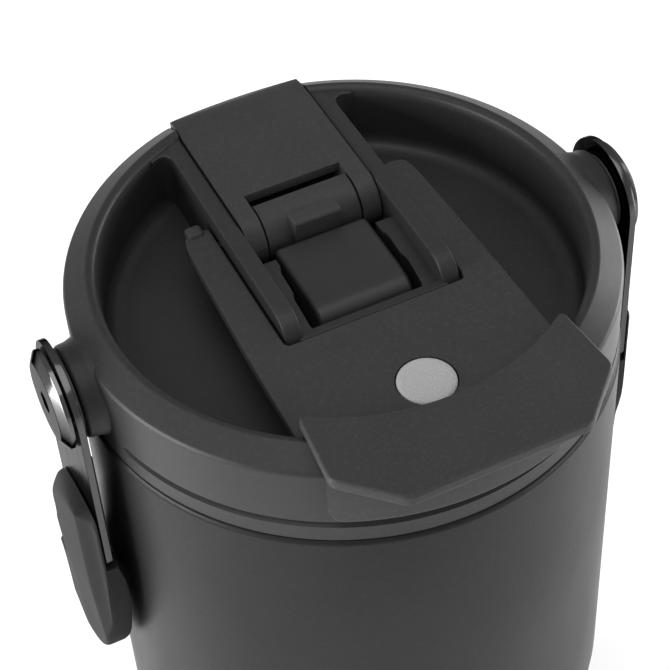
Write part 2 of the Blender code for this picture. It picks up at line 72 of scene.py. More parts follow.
# ---------------------------------------------------------------- camera
CAMERA_PLACE = (-0.10508, -0.23738, 0.46056)
CAMERA_AZIMUTH = -23.390
CAMERA_ELEVATION = 46.779
CAMERA_ROLL = -3.706
CAMERA_LENS = 105.34
CAMERA_SENSOR = 36.0
CAMERA_CLIP = (0.01, 20.0)


def make_camera():
    """Camera turned by azimuth about +Z, raised by elevation, then rolled about its own view."""
    azimuth, elevation, roll = map(math.radians, (CAMERA_AZIMUTH, CAMERA_ELEVATION, CAMERA_ROLL))
    back = Vector((math.sin(azimuth) * math.cos(elevation), -math.cos(azimuth) * math.cos(elevation),
                   math.sin(elevation)))
    level = Vector((math.cos(azimuth), math.sin(azimuth), 0.0))
    upright = back.cross(level)
    right = math.cos(roll) * level + math.sin(roll) * upright
    above = -math.sin(roll) * level + math.cos(roll) * upright
    data = bpy.data.cameras.new("camera")
    data.sensor_width = CAMERA_SENSOR
    data.lens = CAMERA_LENS
    data.clip_start, data.clip_end = CAMERA_CLIP
    camera = bpy.data.objects.new("camera", data)
    scene.collection.objects.link(camera)
    placed = Matrix((right, above, back)).transposed().to_4x4()
    placed.translation = Vector(CAMERA_PLACE)
    camera.matrix_world = placed
    scene.camera = camera


make_camera()


# ---------------------------------------------------------------- materials
MIX_FACTOR = 0         # sockets of a Mix node that is set to colours
MIX_FIRST = 6
MIX_SECOND = 7
MIX_RESULT = 2


class Graph:
    """Short calls for building one node material."""

    def __init__(self, name):
        self.material = bpy.data.materials.new(name)
        self.material.use_nodes = True
        self.tree = self.material.node_tree
        self.shader = self.tree.nodes["Principled BSDF"]
        self.place = self.node("ShaderNodeTexCoord").outputs["Object"]

    def node(self, kind, **settings):
        made = self.tree.nodes.new(kind)
        for key, value in settings.items():
            setattr(made, key, value)
        return made

    def link(self, source, target):
        self.tree.links.new(source, target)

    def noise(self, scale, detail=3.0, stretch=None, roughness=0.5):
        made = self.node("ShaderNodeTexNoise")
        made.inputs["Scale"].default_value = scale
        made.inputs["Detail"].default_value = detail
        made.inputs["Roughness"].default_value = roughness
        source = self.place
        if stretch:
            mapping = self.node("ShaderNodeMapping")
            mapping.inputs["Scale"].default_value = stretch
            self.link(self.place, mapping.inputs["Vector"])
            source = mapping.outputs["Vector"]
        self.link(source, made.inputs["Vector"])
        return made.outputs["Fac"]

    def cells(self, scale):
        made = self.node("ShaderNodeTexVoronoi")
        made.inputs["Scale"].default_value = scale
        self.link(self.place, made.inputs["Vector"])
        return made.outputs["Distance"]

    def span(self, source, low, high, start=0.35, stop=0.65):
        """Carry source from start..stop to low..high."""
        made = self.node("ShaderNodeMapRange")
        made.inputs["From Min"].default_value = start
        made.inputs["From Max"].default_value = stop
        made.inputs["To Min"].default_value = low
        made.inputs["To Max"].default_value = high
        self.link(source, made.inputs["Value"])
        return made.outputs["Result"]

    def blend(self, factor, first, second):
        """Mix two colours, each a tuple or another node's output."""
        made = self.node("ShaderNodeMix", data_type="RGBA")
        for index, colour in ((MIX_FIRST, first), (MIX_SECOND, second)):
            if isinstance(colour, tuple):
                made.inputs[index].default_value = (*colour, 1.0)
            else:
                self.link(colour, made.inputs[index])
        self.link(factor, made.inputs[MIX_FACTOR])
        return made.outputs[MIX_RESULT]

    def bump(self, source, height, strength=1.0, onto=None):
        """Relief of a height in metres, laid over another relief if onto is given."""
        made = self.node("ShaderNodeBump")
        made.inputs["Distance"].default_value = height
        made.inputs["Strength"].default_value = strength
        self.link(source, made.inputs["Height"])
        if onto is not None:
            self.link(onto, made.inputs["Normal"])
        return made.outputs["Normal"]

    def set(self, **values):
        """Fill the shader's sockets; an underscore stands for a space in a socket's name."""
        for key, value in values.items():
            socket = self.shader.inputs[key.replace("_", " ")]
            if isinstance(value, bpy.types.NodeSocket):
                self.link(value, socket)
            elif isinstance(value, tuple):
                socket.default_value = (*value, 1.0)
            else:
                socket.default_value = value
        return self.material


def grey(value, tint=0.0):
    """A grey whose blue is raised by tint."""
    return (value, value, value * (1.0 + tint))


def steel_greys(tone):
    """Darker and lighter grey of one steel, both a trace warmer than neutral."""
    return grey(tone * 0.88, -0.01), grey(tone, -0.005)


def moulded(name, dark, light, rough, grain, depth, specular):
    """Matte moulded plastic or powder coat: fine spark-eroded grain, faint cloudiness and specks.

    Grain is how many grains there are to a metre, and depth their height in metres.
    """
    graph = Graph(name)
    cloud = graph.noise(38.0, 4.0)
    colour = graph.blend(graph.span(cloud, 0.0, 1.0), grey(dark), grey(light))
    speck = graph.noise(grain * 0.45, 2.0)
    colour = graph.blend(graph.span(speck, 0.0, 0.5, 0.5, 0.8), colour, grey(light * 1.5))
    fine = graph.noise(grain, 2.0)
    coarse = graph.noise(grain * 0.22, 3.0)
    normal = graph.bump(fine, depth, 0.55)
    normal = graph.bump(coarse, depth * 1.5, 0.3, normal)
    smear = graph.noise(24.0, 5.0, (1.0, 2.2, 0.7))
    roughness = graph.span(smear, rough - 0.035, rough + 0.045)
    return graph.set(Base_Color=colour, Roughness=roughness, Normal=normal, Specular_IOR_Level=specular)


def metal(name, colours, low, high, stretch, depth=0.000004, scale=900.0, edge=0.85):
    """Bare metal with fine drawn lines along the axis that is stretched least.

    Roughness runs from low to high, and edge is the reflectance at a grazing angle.
    """
    graph = Graph(name)
    lines = graph.noise(scale, 3.0, stretch)
    cloud = graph.noise(60.0, 4.0)
    colour = graph.blend(graph.span(cloud, 0.0, 1.0), *colours)
    roughness = graph.span(lines, low, high, 0.3, 0.7)
    normal = graph.bump(lines, depth, 0.5)
    return graph.set(Base_Color=colour, Roughness=roughness, Normal=normal, Metallic=1.0,
                     Specular_Tint=grey(edge))


def silicone(name, dark, light, rough, pebble=0.0, subsurface=0.0):
    """Satin silicone or nylon; pebble is the strength of a fine cell pattern."""
    graph = Graph(name)
    cloud = graph.noise(55.0, 4.0)
    colour = graph.blend(graph.span(cloud, 0.0, 1.0), grey(dark), grey(light))
    fine = graph.noise(3200.0, 2.0)
    normal = graph.bump(fine, 0.00002, 0.5)
    if pebble:
        dots = graph.cells(2600.0)
        normal = graph.bump(dots, 0.00007, pebble, normal)
        colour = graph.blend(graph.span(dots, 0.0, 1.0, 0.1, 0.6), colour, grey(light * 0.86))
    roughness = graph.span(cloud, rough - 0.05, rough + 0.05)
    return graph.set(Base_Color=colour, Roughness=roughness, Normal=normal, Subsurface_Weight=subsurface,
                     Subsurface_Scale=0.002, Specular_IOR_Level=0.3)


BRASS = ((0.62, 0.43, 0.17), (0.74, 0.55, 0.25))
MATERIALS = {
    "cup_steel": moulded("cup_powder_coat", 0.0085, 0.0110, 0.40, 2100.0, 0.00005, 0.13),
    "lid_plastic": moulded("lid_moulded_plastic", 0.0190, 0.0225, 0.42, 3000.0, 0.00002, 0.20),
    "cover_plastic": moulded("cover_moulded_plastic", 0.0310, 0.0350, 0.46, 3000.0, 0.00002, 0.12),
    "grip_rubber": moulded("grip_soft_rubber", 0.0135, 0.0170, 0.68, 2600.0, 0.00003, 0.10),
    "dark_silicone": silicone("dark_silicone", 0.0190, 0.0230, 0.44),
    "grey_silicone": silicone("grey_silicone", 0.34, 0.38, 0.55, pebble=0.4, subsurface=0.05),
    "clear_silicone": silicone("clear_silicone", 0.50, 0.58, 0.42, subsurface=0.2),
    "bare_steel": metal("drawn_steel", steel_greys(0.40), 0.24, 0.32, (1.0, 1.0, 0.1), 0.000002),
    "pivot_steel": metal("polished_steel", steel_greys(0.13), 0.09, 0.17, (0.2, 1.0, 1.0), 0.000002,
                         edge=0.16),
    "brass": metal("turned_brass", BRASS, 0.25, 0.4, (0.1, 1.0, 1.0)),
    "nylon": silicone("dark_nylon", 0.045, 0.055, 0.4),
}
LINER_STEEL = metal("liner_steel", steel_greys(0.50), 0.30, 0.36, (1.0, 1.0, 6.0), 0.000002, 300.0)
STRAP_STEEL = metal("strap_steel", steel_greys(0.090), 0.13, 0.20, (1.0, 1.0, 0.06), 0.0000015, 700.0,
                    edge=0.25)


# ---------------------------------------------------------------- mesh helpers
NEARLY_STRAIGHT = math.radians(172.0)   # corners flatter than this stay as they are
LARGEST_REACH = 0.45                    # share of a side that a rounded corner may take
WELD = 0.0005                           # points closer than this become one
FACE_WEIGHT = 80                        # how far large faces lead the shading normals


def add_object(name, bm):
    """New object in the scene from a bmesh, with its faces turned outwards."""
    bmesh.ops.recalc_face_normals(bm, faces=bm.faces)
    mesh = bpy.data.meshes.new(name)
    bm.to_mesh(mesh)
    bm.free()
    obj = bpy.data.objects.new(name, mesh)
    scene.collection.objects.link(obj)
    return obj


def softened(outline, reach, steps=4, closed=True, only=None):
    """Round the corners of a flat outline; reach is how far from each corner the curve starts.

    An open outline keeps its ends, and only names the corners to round.
    """
    points = [Vector(p) for p in outline]
    result = []
    count = len(points)
    for index, corner in enumerate(points):
        before = points[index - 1] - corner
        after = points[(index + 1) % count] - corner
        open_end = not closed and index in (0, count - 1)
        straight = before.length < 1e-6 or after.length < 1e-6 or before.angle(after) > NEARLY_STRAIGHT
        chosen = only is None or index in only
        if open_end or straight or not chosen:
            result.append(tuple(corner))
            continue
        size = min(reach, before.length * LARGEST_REACH, after.length * LARGEST_REACH)
        first = corner + before.normalized() * size
        last = corner + after.normalized() * size
        for step in range(steps + 1):
            t = step / steps
            point = first * (1 - t) ** 2 + corner * (2 * t * (1 - t)) + last * t ** 2
            result.append(tuple(point))
    return result


def mirrored(points, side):
    """Points with their first value on the given side, -1 or 1."""
    return [(side * first, second) for first, second in points]


def circle(cx, cy, radius, count, start=0.0, stop=360.0):
    """Points on a circle, or on an arc that includes both of its ends; angles in degrees."""
    whole = abs(stop - start) >= 360.0
    pieces = count if whole else count - 1
    points = []
    for step in range(count):
        angle = math.radians(start + (stop - start) * step / pieces)
        points.append((cx + radius * math.cos(angle), cy + radius * math.sin(angle)))
    return points


def lathe(name, profile, segments=SEG, centre=(0.0, 0.0)):
    """Turn a closed (radius, height) outline about a vertical axis."""
    bm = bmesh.new()
    columns = []
    for radius, height in profile:
        if radius < 1e-6:
            columns.append([bm.verts.new((centre[0], centre[1], height))] * segments)
            continue
        columns.append([bm.verts.new((centre[0] + x, centre[1] + y, height))
                        for x, y in circle(0.0, 0.0, radius, segments)])
    for index, ring in enumerate(columns):
        nxt_index = (index + 1) % len(columns)
        if profile[index][0] < 1e-6 and profile[nxt_index][0] < 1e-6:
            continue
        other = columns[nxt_index]
        for step in range(segments):
            nxt = (step + 1) % segments
            unique = list(dict.fromkeys([ring[step], ring[nxt], other[nxt], other[step]]))
            if len(unique) > 2:
                bm.faces.new(unique)
    return add_object(name, bm)


def loft(name, rings):
    """Skin over closed sections, with both ends closed."""
    bm = bmesh.new()
    made = [[bm.verts.new(point) for point in ring] for ring in rings]
    count = len(made[0])
    for one, two in zip(made, made[1:]):
        for index in range(count):
            nxt = (index + 1) % count
            bm.faces.new((one[index], one[nxt], two[nxt], two[index]))
    bm.faces.new(made[0])
    bm.faces.new(list(reversed(made[-1])))
    return add_object(name, bm)


def ring_at(section, degrees):
    """Place a (radius, height) section at an angle about the vertical axis."""
    turn = math.radians(degrees)
    return [(r * math.cos(turn), r * math.sin(turn), z) for r, z in section]


def sweep(name, profile, start, stop, steps):
    """Turn a closed (radius, height) outline through part of a circle."""
    angles = [start + (stop - start) * (step / steps) for step in range(steps + 1)]
    return loft(name, [ring_at(profile, angle) for angle in angles])


def bevelled(obj, width, segments=3, angle=28.0, keep=None):
    """Round the sharp edges of a simple solid; keep(edge middle) leaves an edge sharp."""
    bm = bmesh.new()
    bm.from_mesh(obj.data)
    edges = []
    for edge in bm.edges:
        if len(edge.link_faces) != 2 or edge.calc_face_angle(0.0) < math.radians(angle):
            continue
        middle = (edge.verts[0].co + edge.verts[1].co) * 0.5
        if keep and keep(middle):
            continue
        edges.append(edge)
    bmesh.ops.bevel(bm, geom=edges, offset=width, offset_type="OFFSET", segments=segments, profile=0.5,
                    affect="EDGES", clamp_overlap=True)
    bm.to_mesh(obj.data)
    bm.free()
    return obj


PLACES = {
    "X": lambda a, b, c: (c, a, b),
    "Y": lambda a, b, c: (a, c, b),
    "Z": lambda a, b, c: (a, b, c),
}


def prism(name, outline, axis, low, high, bevel=0.0, segments=3, keep=None):
    """Extrude a flat outline along an axis; the outline's pair is the other two axes in order."""
    place = PLACES[axis]
    low, high = sorted((low, high))
    bm = bmesh.new()
    bottom = [bm.verts.new(place(a, b, low)) for a, b in outline]
    top = [bm.verts.new(place(a, b, high)) for a, b in outline]
    bm.faces.new(bottom)
    bm.faces.new(top)
    for index in range(len(outline)):
        nxt = (index + 1) % len(outline)
        bm.faces.new((bottom[index], bottom[nxt], top[nxt], top[index]))
    obj = add_object(name, bm)
    if bevel:
        bevelled(obj, bevel, segments, keep=keep)
    return obj


def box(name, x0, x1, y0, y1, z0, z1, bevel=0.0):
    """Box between two corners."""
    x0, x1 = sorted((x0, x1))
    return prism(name, [(x0, y0), (x1, y0), (x1, y1), (x0, y1)], "Z", z0, z1, bevel)


def rod(name, axis, ca, cb, radius, low, high, count=48, bevel=0.0):
    """Round bar along an axis, centred on the other two axes in order."""
    return prism(name, circle(ca, cb, radius, count, 2.3, 362.3), axis, low, high, bevel)


def stepped_rod(name, y, z, sections, count=64):
    """Turned piece along X from (x, radius) sections."""
    return loft(name, [[(x, a, b) for a, b in circle(y, z, radius, count, 1.7, 361.7)]
                       for x, radius in sections])


def combine(target, tool, operation):
    """Apply one Boolean to target and remove the tool."""
    change = target.modifiers.new("join", "BOOLEAN")
    change.operation = operation
    change.solver = "EXACT"
    change.object = tool
    bpy.context.view_layer.update()
    depsgraph = bpy.context.evaluated_depsgraph_get()
    result = bpy.data.meshes.new_from_object(target.evaluated_get(depsgraph))
    target.modifiers.clear()
    target.data = result
    bpy.data.objects.remove(tool, do_unlink=True)
    return target


def unite(target, *tools):
    for tool in tools:
        combine(target, tool, "UNION")
    return target


def cut(target, *tools):
    for tool in tools:
        combine(target, tool, "DIFFERENCE")
    return target


replaced = set()


def finish(obj, body, slot, nodes, smooth=38.0, look=None):
    """Scale to metres, shade, give the material, and hang the piece on its body.

    Edges sharper than smooth degrees stay sharp, and look stands in for the slot's own material.
    """
    replaced.update(nodes)
    bm = bmesh.new()
    bm.from_mesh(obj.data)
    bmesh.ops.remove_doubles(bm, verts=bm.verts, dist=WELD)
    bmesh.ops.dissolve_degenerate(bm, edges=bm.edges, dist=WELD)
    bmesh.ops.recalc_face_normals(bm, faces=bm.faces)
    bm.to_mesh(obj.data)
    bm.free()
    obj.data.transform(Matrix.Scale(MM, 4))
    obj.data.materials.clear()
    obj.data.materials.append(look or MATERIALS[slot])
    obj.data.polygons.foreach_set("use_smooth", [True] * len(obj.data.polygons))
    obj.data.set_sharp_from_angle(angle=math.radians(smooth))
    weigh = obj.modifiers.new("weigh", "WEIGHTED_NORMAL")
    weigh.keep_sharp = True
    weigh.weight = FACE_WEIGHT
    bpy.context.view_layer.update()
    depsgraph = bpy.context.evaluated_depsgraph_get()
    result = bpy.data.meshes.new_from_object(obj.evaluated_get(depsgraph))
    obj.modifiers.clear()
    obj.data = result
    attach(obj, body)
    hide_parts(*nodes)
    return obj


# ---------------------------------------------------------------- cup
SHELL_WALL = 0.9
LINER_WALL = 0.8
LIP_IN = 49.5          # inner edge of the shell's lip
LIP_DEPTH = 1.9
FOOT_TOP = 2.8
shell_side = [(WALL_R, LIP - 0.8), (WALL_R, 92.0), (51.9, 85.5), (50.2, 79.5), (47.4, 73.5), (44.3, 67.5),
              (41.9, 61.0), (40.6, 54.0), (40.0, 46.0), (39.2, 20.0), (38.9, 3.2)]
shell_curve = softened(shell_side, 4.0, 4, closed=False)
shell_back = [(r - SHELL_WALL, z) for r, z in reversed(shell_curve[1:-1])]
shell_top = softened([(LIP_IN, LIP), (51.9, LIP), (WALL_R, LIP - 0.8)], 0.3, 3, closed=False)
shell_foot = [(38.7, 2.2), (38.1, 1.6), (37.5, 1.4), (37.4, 2.6)]
shell_under = [(51.6, LIP - LIP_DEPTH), (LIP_IN, LIP - LIP_DEPTH)]
outer_shell = lathe("cup_wall", shell_top[:-1] + shell_curve + shell_foot + shell_back + shell_under)
finish(outer_shell, "cup", "cup_steel", ["outer_shell"])

liner_side = [(49.2, LIP), (49.2, 93.0), (48.5, 86.0), (46.8, 80.0), (44.0, 74.0), (40.9, 68.0),
              (38.5, 61.5), (37.2, 54.5), (36.6, 46.5), (35.9, 20.0), (34.2, 14.6), (31.0, 11.5),
              (0.0, 11.5)]
liner_curve = softened(liner_side, 3.0, 3, closed=False)
liner_back = [(max(0.0, r - LINER_WALL), z + (LINER_WALL if z < 19.0 else 0.0))
              for r, z in reversed(liner_curve)]
liner = lathe("cup_liner", liner_curve + liner_back)
finish(liner, "cup", "bare_steel", ["inner_liner"], look=LINER_STEEL)

foot_rings = [(0.0, 0.0), (30.0, 0.0), (30.4, 0.5), (31.6, 0.5), (32.0, 0.0), (35.8, 0.0), (36.6, 0.3),
              (37.0, 0.9), (37.0, FOOT_TOP)]
foot = lathe("foot_pad", softened(foot_rings, 0.25, 2, closed=False) + [(0.0, FOOT_TOP)])
finish(foot, "cup", "dark_silicone", ["base_pad"])

# ---------------------------------------------------------------- lid moulding
lid_profile = [
    (0.0, RIM - 11.0), (42.2, RIM - 11.0), (43.9, RIM - 10.5), (44.9, RIM - 9.2), (45.05, RIM - 7.5),
    (45.4, RIM + 1.2), (45.8, RIM + 2.4), (46.5, RIM + 2.95), (47.3, RIM + 3.0), (51.7, RIM + 0.1),
    (LID_R, RIM - 0.5), (LID_R, RIM - 17.65), (51.75, RIM - 17.95), (50.0, RIM - 17.95), (50.0, RIM - 2.6),
    (47.4, RIM - 2.6), (47.4, RIM - 9.0), (45.8, RIM - 12.2), (44.2, RIM - 13.2), (0.0, RIM - 13.2)]
lid = lathe("lid_moulding", softened(lid_profile, 0.9, 4, only=range(1, 13)))

# Rails beside the spout, the ledges along their inner faces, and the lugs.
RAIL_IN = 14.2
RAIL_OUT = 17.8
LEDGE_IN = 9.0
LUG_SECTIONS = [
    (47.6, 9.5), (51.7, 9.5), (52.3, 9.3), (53.2, 9.05), (54.4, 9.0), (54.8, 8.9), (55.07, 8.7), (55.2, 8.4)]
rail_side = [
    (44.6, RIM - 11.6), (44.6, RIM + 2.2), (-8.0, RIM + 2.2), (-10.4, RIM + 1.7), (-12.3, RIM + 0.2),
    (-13.4, RIM - 1.8), (-13.8, RIM - 3.8), (-13.8, RIM - 11.6)]
rail_curve = softened(rail_side, 1.6, 4, only=range(2, 7))
ledge_side = [
    (7.5, RIM - 11.8), (7.5, RIM - 1.9), (6.8, RIM - 1.3), (2.0, RIM - 1.5), (-6.0, RIM - 2.5),
    (-10.0, RIM - 3.4), (-12.0, RIM - 3.8), (-12.0, RIM - 11.8)]
ledge_curve = softened(ledge_side, 1.2, 3, only=range(1, 7))
ledge_plan = [
    (15.0, -12.0), (10.5, -12.0), (11.5, -10.2), (11.6, -3.4), (11.1, -2.2), (11.1, 3.4), (10.5, 4.6),
    (10.5, 7.6), (15.0, 7.6)]
for side in (-1, 1):
    rail = prism("rail", rail_curve, "X", side * RAIL_IN, side * RAIL_OUT, 0.55)
    ledge = prism("ledge", ledge_curve, "X", side * LEDGE_IN, side * (RAIL_IN + 0.8))
    trim = prism("trim", softened(mirrored(ledge_plan, side), 0.7, 4), "Z", RIM - 14.0, RIM)
    combine(ledge, trim, "INTERSECT")
    bevelled(ledge, 0.28, 2, 40.0, keep=lambda m: m.z < RIM - 5.0)
    lug = stepped_rod("lug", 0.0, PIVOT_Z, mirrored(LUG_SECTIONS, side), 72)
    unite(lid, rail, ledge, lug)

# Small curved fillets where the rails meet the rim at the back.
corner_start = Vector((17.8, 37.6))
corner_bend = Vector((17.8, 41.5))
corner_stop = Vector((21.7, 39.6))
corner_curve = [corner_start * (1 - t) ** 2 + corner_bend * (2 * t * (1 - t)) + corner_stop * t ** 2
                for t in [step / 10 for step in range(11)]]
for side in (-1, 1):
    corner_plan = mirrored([(16.8, 37.6), *corner_curve, (22.2, 40.9), (16.8, 43.6)], side)
    unite(lid, prism("corner", corner_plan, "Z", RIM - 11.4, RIM + 2.1, 0.35, keep=lambda m: m.z < RIM))

# Bar before the spout, bridge under the hinge cover, boss round the drinking hole, and the openings.
front_bar = box("front_bar", -RAIL_IN - 0.9, RAIL_IN + 0.9, -13.85, -11.9, RIM - 11.4, RIM - 1.7, 0.35)
bridge = box("bridge", -RAIL_IN - 0.6, RAIL_IN + 0.6, 24.4, 45.6, RIM - 11.5, RIM - 0.6)
sip_boss = rod("sip_boss", "Z", 0.0, SIP_Y, 8.8, RIM - 11.7, RIM - 4.2, 64, 0.3)
unite(lid, front_bar, bridge, sip_boss)
cut(lid,
    box("cover_seat", -RAIL_IN, RAIL_IN, 30.0, 56.0, RIM - 0.45, RIM + 6.0),
    rod("sip_hole", "Z", 0.0, SIP_Y, SIP_R, RIM - 16.0, RIM, 64),
    rod("straw_hole", "Z", 0.0, HINGE_Y, 4.0, RIM - 16.0, RIM - 8.0, 40),
    rod("pin_hole", "X", HINGE_Y, HINGE_Z, PIN_R, -20.0, 20.0, 24),
    rod("vent_hole", "Z", 0.0, 34.0, 2.6, RIM - 16.0, RIM + 2.0, 32))

# Two decorative grooves round the lid's side, each with its ends near the lugs.
GROOVE_STARTS = (13.4, 193.4)   # degrees, one groove behind the lugs and one before them
GROOVE_SPAN = 153.2             # degrees
GROOVE_END = 1.1                # degrees over which an end closes
GROOVE_Z = -13.3                # middle of the groove, from the rim
GROOVE_OUT = 53.0
GROOVE_SECTION = [(51.2, -13.7), (51.8, -14.05), (GROOVE_OUT, -14.6), (GROOVE_OUT, -12.3), (52.3, -12.45),
                  (51.2, -12.8)]


def groove_tool(start, steps=90):
    """Ring cutter with rounded ends."""
    rings = []
    for step in range(steps + 1):
        share = step / steps
        from_end = min(share, 1.0 - share) * GROOVE_SPAN
        grow = math.sqrt(max(0.02, 1.0 - max(0.0, 1.0 - from_end / GROOVE_END) ** 2))
        section = [(GROOVE_OUT - (GROOVE_OUT - r) * (0.55 + 0.45 * grow),
                    RIM + GROOVE_Z + (z - GROOVE_Z) * grow) for r, z in GROOVE_SECTION]
        rings.append(ring_at(section, start + GROOVE_SPAN * share))
    return loft("groove", rings)


for start in GROOVE_STARTS:
    cut(lid, groove_tool(start))
for side in (-1, 1):
    cut(lid, rod("bore", "X", 0.0, PIVOT_Z, 3.5, side * 48.4, side * 58.0, 40))
finish(lid, "lid", "lid_plastic", ["lid_body"])

# ---------------------------------------------------------------- hinge cover
COVER_HALF = 13.9
COVER_LOW = RIM - 0.1
NOTCH_HALF = 10.1
cover_side = circle(HINGE_Y, HINGE_Z, 6.0, 36, 90.0, 300.0) + [
    (24.1, HINGE_Z - 4.0), (24.1, COVER_LOW), (52.2, COVER_LOW), (52.2, RIM + 0.2), (49.0, RIM + 2.0),
    (46.4, RIM + 2.6)]
cover = prism("hinge_cover_plate", cover_side, "X", -COVER_HALF, COVER_HALF)
rear_edge = circle(0.0, 0.0, 51.0, 25, 73.0, 107.0)
plan = prism("plan", [(-15.0, 5.0), (15.0, 5.0)] + rear_edge, "Z", RIM - 15.0, RIM + 5.0)
combine(cover, plan, "INTERSECT")
notch_side = [
    (5.0, RIM - 12.0), (25.0, RIM - 12.0), (25.0, COVER_LOW), (22.4, COVER_LOW), (21.6, RIM + 0.6),
    (21.6, RIM + 6.0), (5.0, RIM + 6.0)]
cut(cover, prism("notch", notch_side, "X", -NOTCH_HALF, NOTCH_HALF))
bevelled(cover, 0.35, 3, keep=lambda m: m.y > 21.0 and m.z < RIM + 0.9)
cut(cover, rod("pin_bore", "X", HINGE_Y, HINGE_Z, PIN_R, -20.0, 20.0, 24))
finish(cover, "lid", "cover_plastic", ["hinge_cover"])

# ---------------------------------------------------------------- spout
BARREL_HALF = 9.7
THUMB_HALF = 4.8
MOUTH_HALF = 9.6
barrel_side = circle(HINGE_Y, HINGE_Z, 5.8, 56, 74.0, 330.0) + [(HINGE_Y + 3.4, HINGE_Z - 2.9)]
barrel = prism("spout_hub", barrel_side, "X", -BARREL_HALF, BARREL_HALF, 0.35,
               keep=lambda m: m.y > HINGE_Y + 1.0)
thumb_side = [
    (13.6, RIM + 2.0), (13.2, RIM + 2.4), (10.6, RIM + 2.6), (9.9, RIM + 2.1), (10.3, RIM - 3.2),
    (13.6, RIM - 3.2)]
thumb = prism("thumb", softened(thumb_side, 0.5, 3, only=(2, 3)), "X", -THUMB_HALF, THUMB_HALF, 0.4)
unite(barrel, thumb)
cut(barrel, rod("flow_bore", "Y", 0.0, FLOW_Z, FLOW_R, 8.0, 26.0, 32))
for side in (-1, 1):
    cut(barrel, rod("pin_bore", "X", HINGE_Y, HINGE_Z, PIN_R, side * 6.2, side * 12.0, 24))
finish(barrel, "spout", "cover_plastic", ["spout_barrel"])

mouth_side = [
    (10.0, RIM - 3.2), (9.4, RIM - 1.4), (-5.0, RIM - 1.35), (-8.6, RIM - 1.8), (-10.3, RIM - 3.3),
    (-10.9, RIM - 5.3), (-10.9, RIM - 8.8), (8.6, RIM - 8.8), (10.0, RIM - 7.0)]
mouth = prism("spout_mouthpiece", softened(mouth_side, 2.0, 5), "X", -MOUTH_HALF, MOUTH_HALF, 0.95, 4)
cut(mouth, rod("mouth_bore", "Y", 0.0, FLOW_Z, FLOW_R, -14.0, 14.0, 32))
finish(mouth, "spout", "dark_silicone", ["spout_mouth"])

# ---------------------------------------------------------------- flip-up sip cover
PLATE_TOP = RIM - 1.0
PLATE_LOW = RIM - 3.5
TAB_LOW = RIM + 3.5
TAB_TOP = RIM + 6.0
RISER_TOP = RIM + 4.4
half_edge = [(18.3, 20.2), (20.5, 20.8), (23.4, 20.2), (24.2, 17.0), (24.6, 8.0), (25.4, -12.0),
             (26.0, -34.5)]
front_arc = circle(0.0, 0.0, 44.0, 31, -54.3, -125.7)
right_side = softened(half_edge, 1.5, 4, closed=False)
left_side = softened(mirrored(reversed(half_edge), -1), 1.5, 4, closed=False)
notch = [(-18.3, -13.7), (-17.7, -14.4), (17.7, -14.4), (18.3, -13.7)]
plate_plan = right_side + front_arc + left_side + notch
plate = prism("sip_cover_plate", plate_plan, "Z", PLATE_LOW, PLATE_TOP, 0.6, keep=lambda m: m.y < -35.0)
for side in (-1, 1):
    unite(plate, rod("arm_barrel", "X", HINGE_Y, HINGE_Z, 2.3, side * 18.35, side * 23.7, 40, 0.3))
unite(plate, box("nub", -22.9, -19.5, 18.9, 22.1, RIM - 3.3, RIM - 0.3, 0.85))

tab_arc = circle(0.0, 0.0, 43.8, 41, -125.0, -55.0)
tab_plan = tab_arc + [
    (25.9, -36.6), (27.1, -50.8), (17.3, -60.5), (-17.3, -60.5), (-27.1, -50.8), (-25.9, -36.6)]
tab_corners = range(len(tab_arc), len(tab_plan))
unite(plate, prism("tab", softened(tab_plan, 1.3, 4, only=tab_corners), "Z", TAB_LOW, TAB_TOP, 0.55))
riser_section = [(41.6, PLATE_LOW - 0.1), (44.6, PLATE_LOW - 0.1), (44.6, RISER_TOP), (43.3, RISER_TOP),
                 (42.9, RIM + 3.0), (41.8, PLATE_TOP + 0.1)]
unite(plate, sweep("riser", riser_section, -124.6, -55.4, 48))


SKIRT_START = -119.0   # degrees
SKIRT_SPAN = 58.0      # degrees
SKIRT_R = 53.5
SKIRT_LOW = RIM - 9.8
SKIRT_ROUND = 3.0      # radius of the lower corners


def skirt(steps=60):
    """Curved apron in front of the rim, with rounded lower corners."""
    rings = []
    for step in range(steps + 1):
        from_end = min(step, steps - step) / steps * math.radians(SKIRT_SPAN) * SKIRT_R
        lift = 0.0
        if from_end < SKIRT_ROUND:
            lift = SKIRT_ROUND - math.sqrt(max(0.0, SKIRT_ROUND ** 2 - (SKIRT_ROUND - from_end) ** 2))
        low = SKIRT_LOW + lift
        section = [(52.5, low + 0.25), (52.8, low), (53.9, low), (54.3, low + 0.25), (54.55, low + 0.9),
                   (54.62, RIM - 2.0), (54.7, RISER_TOP), (52.5, RISER_TOP)]
        rings.append(ring_at(section, SKIRT_START + SKIRT_SPAN * step / steps))
    return loft("skirt", rings)


unite(plate, skirt())
cut(plate,
    rod("dot_seat", "Z", 0.0, SIP_Y, 5.7, RIM - 2.4, RIM + 2.0, 72),
    rod("dot_neck", "Z", 0.0, SIP_Y, 3.7, RIM - 5.0, RIM, 48),
    rod("pin_bore", "X", HINGE_Y, HINGE_Z, PIN_R, -30.0, 30.0, 24))
finish(plate, "sip_cover", "cover_plastic", ["flip_cover"])

